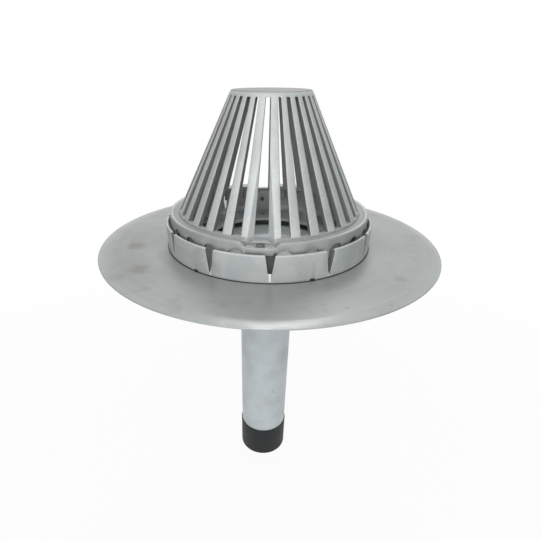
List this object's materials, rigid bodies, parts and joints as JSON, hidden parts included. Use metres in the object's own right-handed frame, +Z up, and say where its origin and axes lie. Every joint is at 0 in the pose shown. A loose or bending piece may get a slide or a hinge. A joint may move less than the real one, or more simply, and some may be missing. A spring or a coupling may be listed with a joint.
{
  "type": "flat roof drain",
  "caption": "Flat roof drain with a wide spun aluminium flange and sump, a long outlet stem with a rubber seal, a notched clamping ring and a slotted dome strainer.",
  "frame": {"origin": "centre of the open end of the outlet, on the stem's axis", "axes": "+Z up along the stem's axis, -Y to the front, where the dome's front lock pad is"},
  "size_m": [0.4444, 0.4444, 0.5766],
  "materials": {
    "spun_aluminium": "satin spun sheet with faint turning rings",
    "tube_aluminium": "mill finish drawn tube, lightly stained",
    "cast_aluminium": "matt blasted casting",
    "plated_steel": "dull zinc plate",
    "seal_rubber": "matt moulded rubber"
  },
  "bodies": {
    "root": {"flange_pan": "spun_aluminium", "outlet_stem": "tube_aluminium", "pipe_seal": "seal_rubber", "clamping_ring": "cast_aluminium", "dome_strainer": "cast_aluminium", "clamp_screw_1": "plated_steel", "clamp_screw_2": "plated_steel", "clamp_screw_3": "plated_steel", "clamp_screw_4": "plated_steel", "clamp_screw_5": "plated_steel", "clamp_screw_6": "plated_steel", "clinch_nut_1": "plated_steel", "clinch_nut_2": "plated_steel", "clinch_nut_3": "plated_steel", "clinch_nut_4": "plated_steel", "clinch_nut_5": "plated_steel", "clinch_nut_6": "plated_steel", "lock_clip_1": "plated_steel", "lock_clip_2": "plated_steel", "clip_rivet_1": "plated_steel", "clip_rivet_2": "plated_steel"}
  },
  "joints": []
}
